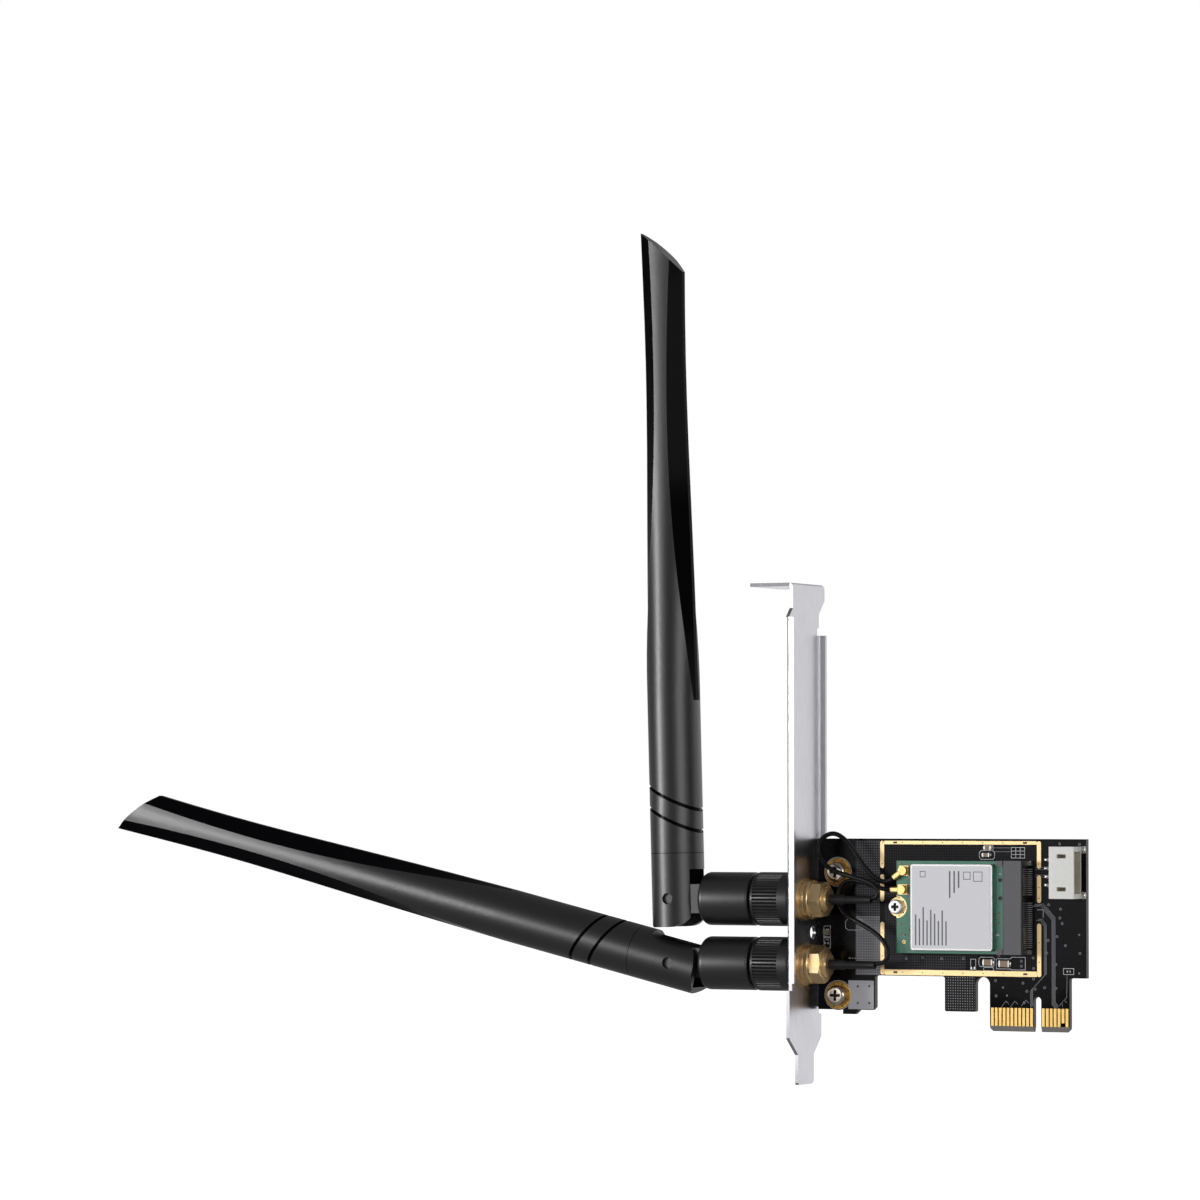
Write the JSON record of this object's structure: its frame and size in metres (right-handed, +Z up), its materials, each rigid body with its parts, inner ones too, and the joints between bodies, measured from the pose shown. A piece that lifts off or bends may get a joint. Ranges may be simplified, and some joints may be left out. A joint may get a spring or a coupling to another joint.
{
  "type": "pcie wifi card",
  "caption": "Wireless network card for a computer's expansion slot: slot bracket, circuit board with radio module and front-panel header, and hinged stick antennas on threaded jacks.",
  "frame": {"origin": "on the bracket's outer face, in the plane of the board's component face, level with the lower end of the card edge", "axes": "+X from the bracket along the card, -Y out of the board's component face, +Z up the bracket towards its screw tab"},
  "size_m": [0.2632, 0.0205, 0.2069],
  "materials": {
    "plated_steel": "satin zinc-plated sheet",
    "solder_mask": "black solder mask, semi-gloss",
    "gold_plate": "gold plate",
    "gold_brass": "gold-plated turned brass",
    "nickel_screw": "nickel plate",
    "module_mask": "green solder mask",
    "can_steel": "tinned sheet",
    "label_paper": "bare white label",
    "socket_plastic": "moulded",
    "tinned_copper": "bright tin",
    "header_plastic": "moulded nylon",
    "ceramic": "fired ceramic",
    "resistor_black": "glazed",
    "lamp_resin": "clear resin",
    "insulator_white": "machined fluoropolymer",
    "lead_jacket": "extruded jacket",
    "shrink_tube": "shrunk tube",
    "antenna_plastic": "fine-textured moulding",
    "radiator_brass": "drawn tube"
  },
  "bodies": {
    "root": {"bracket": "plated_steel", "main_board": "solder_mask", "edge_contacts": "gold_plate", "ground_frame": "gold_plate", "screw_pads": "gold_plate", "board_screws": "nickel_screw", "module_board": "module_mask", "module_ring": "gold_plate", "shield_can": "can_steel", "shield_label": "label_paper", "module_post": "gold_brass", "module_screw": "nickel_screw", "module_socket": "socket_plastic", "socket_contacts": "tinned_copper", "socket_clips": "tinned_copper", "coax_receptacles": "gold_plate", "coax_plugs": "gold_brass", "header_housing": "header_plastic", "header_pins": "tinned_copper", "header_tabs": "tinned_copper", "capacitors": "ceramic", "resistors": "resistor_black", "chip_ends": "tinned_copper", "status_lamp": "lamp_resin", "jack_insulators": "insulator_white", "jack_pins": "gold_brass", "flat_washers": "gold_brass", "lock_washers": "gold_brass", "jack_nuts": "gold_brass", "lower_jack": "gold_brass", "lower_lead": "lead_jacket", "lower_shrink_sleeve": "shrink_tube", "upper_jack": "gold_brass", "upper_lead": "lead_jacket", "upper_shrink_sleeve": "shrink_tube"},
    "lower_nut": {"lower_coupling_nut": "antenna_plastic", "lower_nut_insert": "gold_brass"},
    "lower_swivel": {"lower_plug_shell": "gold_brass", "lower_plug_insulator": "insulator_white", "lower_plug_contact": "gold_brass", "lower_barrel": "antenna_plastic"},
    "lower_antenna": {"lower_hinge_pin": "antenna_plastic", "lower_fork": "antenna_plastic", "lower_blade": "antenna_plastic", "lower_radiator": "radiator_brass"},
    "upper_nut": {"upper_coupling_nut": "antenna_plastic", "upper_nut_insert": "gold_brass"},
    "upper_swivel": {"upper_plug_shell": "gold_brass", "upper_plug_insulator": "insulator_white", "upper_plug_contact": "gold_brass", "upper_barrel": "antenna_plastic"},
    "upper_antenna": {"upper_hinge_pin": "antenna_plastic", "upper_fork": "antenna_plastic", "upper_blade": "antenna_plastic", "upper_radiator": "radiator_brass"}
  },
  "joints": [
    {"name": "lower_nut_turn", "type": "hinge", "parent": "root", "child": "lower_nut", "pos_m": [0, -0.00656, 0.01545], "axis": [1, 0, 0], "continuous": true},
    {"name": "lower_swivel_turn", "type": "hinge", "parent": "root", "child": "lower_swivel", "pos_m": [0, -0.00656, 0.01545], "axis": [1, 0, 0], "range_deg": [-180, 180]},
    {"name": "lower_elbow", "type": "hinge", "parent": "lower_swivel", "child": "lower_antenna", "pos_m": [-0.0328, -0.00656, 0.01545], "axis": [0, 1, 0], "range_deg": [-13.4, 4]},
    {"name": "upper_nut_turn", "type": "hinge", "parent": "root", "child": "upper_nut", "pos_m": [0, -0.00656, 0.031], "axis": [1, 0, 0], "continuous": true},
    {"name": "upper_swivel_turn", "type": "hinge", "parent": "root", "child": "upper_swivel", "pos_m": [0, -0.00656, 0.031], "axis": [1, 0, 0], "range_deg": [-115, 115]},
    {"name": "upper_elbow", "type": "hinge", "parent": "upper_swivel", "child": "upper_antenna", "pos_m": [-0.0328, -0.00656, 0.031], "axis": [0, 1, 0], "range_deg": [-75, 1.5]}
  ]
}
